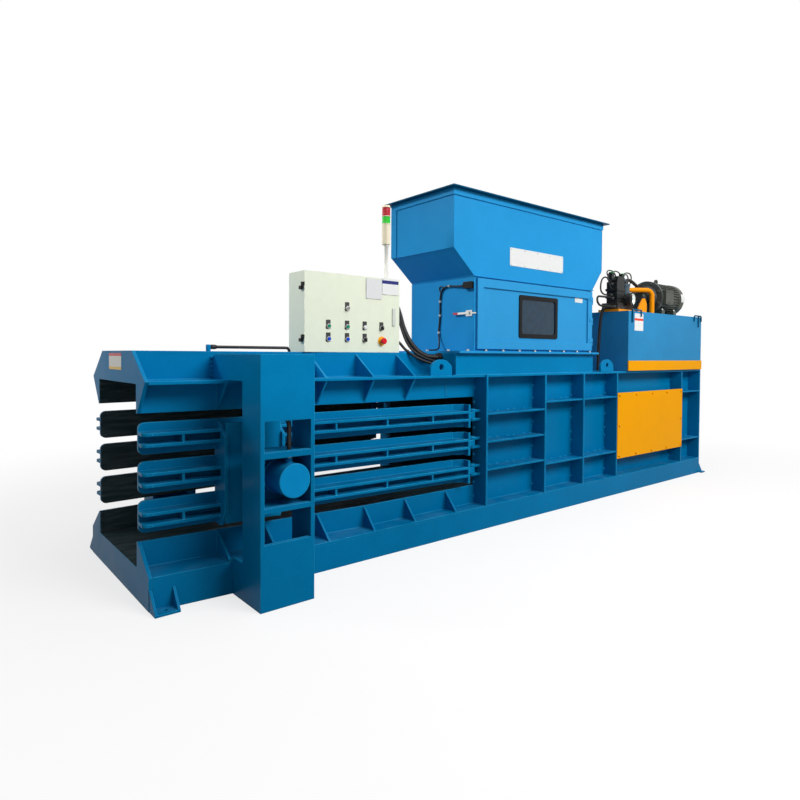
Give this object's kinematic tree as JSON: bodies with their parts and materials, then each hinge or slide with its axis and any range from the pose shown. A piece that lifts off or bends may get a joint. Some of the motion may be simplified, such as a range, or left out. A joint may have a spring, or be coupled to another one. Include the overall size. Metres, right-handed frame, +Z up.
{
  "type": "recycling baler",
  "caption": "Horizontal baler with side squeeze gates, feed hopper, control cabinet and hydraulic power unit",
  "frame": {"origin": "on the floor at the middle of the machine's outline", "axes": "+X from the bale discharge end to the power unit, -Y towards the operator, +Z up"},
  "size_m": [5.6, 1.796, 2.333],
  "materials": {
    "blue_paint": "satin",
    "hopper_paint": "satin",
    "door_paint": "satin",
    "steel": "satin",
    "yellow_paint": "satin",
    "orange_paint": "satin",
    "cabinet_paint": "satin",
    "black_plastic": "satin",
    "bezel_metal": "polished",
    "green_plastic": "gloss",
    "white_plastic": "gloss",
    "blue_plastic": "gloss",
    "red_plastic": "gloss",
    "tower_plastic": "gloss",
    "green_lens": "gloss",
    "red_lens": "gloss",
    "motor_paint": "satin",
    "pump_iron": "satin",
    "valve_metal": "satin",
    "needle_paint": "satin",
    "clear_glass": "gloss",
    "hose_rubber": "matte"
  },
  "bodies": {
    "frame": {"access_cover": "yellow_paint", "anchor_feet": "blue_paint", "base_frame": "blue_paint", "cabinet_box": "cabinet_paint", "conduit": "hose_rubber", "discharge_plates": "blue_paint", "door_hinges": "door_paint", "far_column": "blue_paint", "far_hose": "hose_rubber", "feed_collar": "blue_paint", "gate_hinges": "blue_paint", "gauge": "valve_metal", "hopper_lower": "hopper_paint", "hopper_upper": "hopper_paint", "interlock_cable": "hose_rubber", "interlock_switch": "black_plastic", "lamp_green": "green_lens", "lamp_red": "red_lens", "latch_base": "steel", "lifting_lugs": "blue_paint", "main_cylinder": "blue_paint", "manifold": "valve_metal", "motor": "motor_paint", "near_column": "blue_paint", "near_hose": "hose_rubber", "pipework": "orange_paint", "pump_set": "pump_iron", "ribs": "blue_paint", "roof_box": "blue_paint", "side_walls": "blue_paint", "squeeze_cylinders": "blue_paint", "squeeze_pipe": "blue_paint", "tank": "blue_paint", "tank_band": "yellow_paint", "tank_hose": "hose_rubber", "top_plate": "blue_paint", "tower_stem": "tower_plastic"},
    "ram": {"main_ram": "blue_paint"},
    "near_gate_body": {"near_gate": "blue_paint"},
    "far_gate_body": {"far_gate": "blue_paint"},
    "near_rod_body": {"near_rod": "steel"},
    "far_rod_body": {"far_rod": "steel"},
    "hopper_door_body": {"hopper_door": "door_paint", "window_frame": "black_plastic", "window_glass": "clear_glass"},
    "toggle_lever": {"latch_lever": "steel"},
    "cabinet_door_body": {"cabinet_door": "cabinet_paint", "control_bezels": "bezel_metal"},
    "cabinet_handle": {"cabinet_latch": "black_plastic"},
    "fan": {"motor_fan": "motor_paint"},
    "needle": {"gauge_needle": "needle_paint"},
    "stop": {"stop_button": "red_plastic"},
    "key": {"key_switch": "bezel_metal"},
    "selector_left": {"selector_2": "black_plastic"},
    "selector_right": {"selector_1": "black_plastic"},
    "cap_green_1": {"green_button_1": "green_plastic"},
    "cap_green_2": {"green_button_2": "green_plastic"},
    "cap_white": {"white_button": "white_plastic"},
    "cap_blue_1": {"blue_button_1": "blue_plastic"},
    "cap_blue_2": {"blue_button_2": "blue_plastic"}
  },
  "joints": [
    {"name": "ram_stroke", "type": "slide", "parent": "frame", "child": "ram", "axis": [-1, 0, 0], "range_m": [0, 1.25]},
    {"name": "near_gate_swing", "type": "hinge", "parent": "frame", "child": "near_gate_body", "pos_m": [-0.61, -0.522, 0.6], "axis": [0, 0, -1], "range_deg": [-1.5, 2.5]},
    {"name": "far_gate_swing", "type": "hinge", "parent": "frame", "child": "far_gate_body", "pos_m": [-0.61, 0.522, 0.6], "axis": [0, 0, 1], "range_deg": [-1.5, 2.5]},
    {"name": "near_rod_stroke", "type": "slide", "parent": "frame", "child": "near_rod_body", "axis": [0, 1, 0], "range_m": [-0.045, 0.073]},
    {"name": "far_rod_stroke", "type": "slide", "parent": "frame", "child": "far_rod_body", "axis": [0, -1, 0], "range_m": [-0.045, 0.073]},
    {"name": "hopper_door_swing", "type": "hinge", "parent": "frame", "child": "hopper_door_body", "pos_m": [0.746, -0.597, 1.5], "axis": [0, 0, 1], "range_deg": [0, 110]},
    {"name": "toggle_swing", "type": "hinge", "parent": "frame", "child": "toggle_lever", "pos_m": [-0.672, -0.54, 1.505], "axis": [0, 0, 1], "range_deg": [0, 100]},
    {"name": "cabinet_door_swing", "type": "hinge", "parent": "frame", "child": "cabinet_door_body", "pos_m": [-1.877, -0.366, 1.46], "axis": [0, 0, -1], "range_deg": [0, 115]},
    {"name": "cabinet_handle_lift", "type": "hinge", "parent": "cabinet_door_body", "child": "cabinet_handle", "pos_m": [-1.204, -0.3866, 1.514], "axis": [-1, 0, 0], "range_deg": [0, 60]},
    {"name": "green_press_1", "type": "slide", "parent": "cabinet_door_body", "child": "cap_green_1", "axis": [0, 1, 0], "range_m": [0, 0.0035], "stiffness_N_per_m": 600},
    {"name": "green_press_2", "type": "slide", "parent": "cabinet_door_body", "child": "cap_green_2", "axis": [0, 1, 0], "range_m": [0, 0.0035], "stiffness_N_per_m": 600},
    {"name": "white_press", "type": "slide", "parent": "cabinet_door_body", "child": "cap_white", "axis": [0, 1, 0], "range_m": [0, 0.0035], "stiffness_N_per_m": 600},
    {"name": "blue_press_1", "type": "slide", "parent": "cabinet_door_body", "child": "cap_blue_1", "axis": [0, 1, 0], "range_m": [0, 0.0035], "stiffness_N_per_m": 600},
    {"name": "blue_press_2", "type": "slide", "parent": "cabinet_door_body", "child": "cap_blue_2", "axis": [0, 1, 0], "range_m": [0, 0.0035], "stiffness_N_per_m": 600},
    {"name": "stop_press", "type": "slide", "parent": "cabinet_door_body", "child": "stop", "axis": [0, 1, 0], "range_m": [0, 0.0035]},
    {"name": "key_turn", "type": "hinge", "parent": "cabinet_door_body", "child": "key", "pos_m": [-1.57, -0.39, 1.498], "axis": [0, 1, 0], "range_deg": [0, 90]},
    {"name": "selector_1_turn", "type": "hinge", "parent": "cabinet_door_body", "child": "selector_right", "pos_m": [-1.304, -0.39, 1.385], "axis": [0, 1, 0], "range_deg": [-45, 45]},
    {"name": "selector_2_turn", "type": "hinge", "parent": "cabinet_door_body", "child": "selector_left", "pos_m": [-1.436, -0.39, 1.308], "axis": [0, 1, 0], "range_deg": [-45, 45]},
    {"name": "motor_turn", "type": "hinge", "parent": "frame", "child": "fan", "pos_m": [2.3, -0.457, 1.78], "axis": [1, 0, 0], "continuous": true},
    {"name": "needle_turn", "type": "hinge", "parent": "frame", "child": "needle", "pos_m": [1.451, -0.555, 1.735], "axis": [0, 1, 0], "range_deg": [-60, 60]}
  ],
  "couplings": [
    {"joint": "near_rod_stroke", "follows": "near_gate_swing", "m_per_rad": 1.61},
    {"joint": "far_rod_stroke", "follows": "far_gate_swing", "m_per_rad": 1.61}
  ]
}
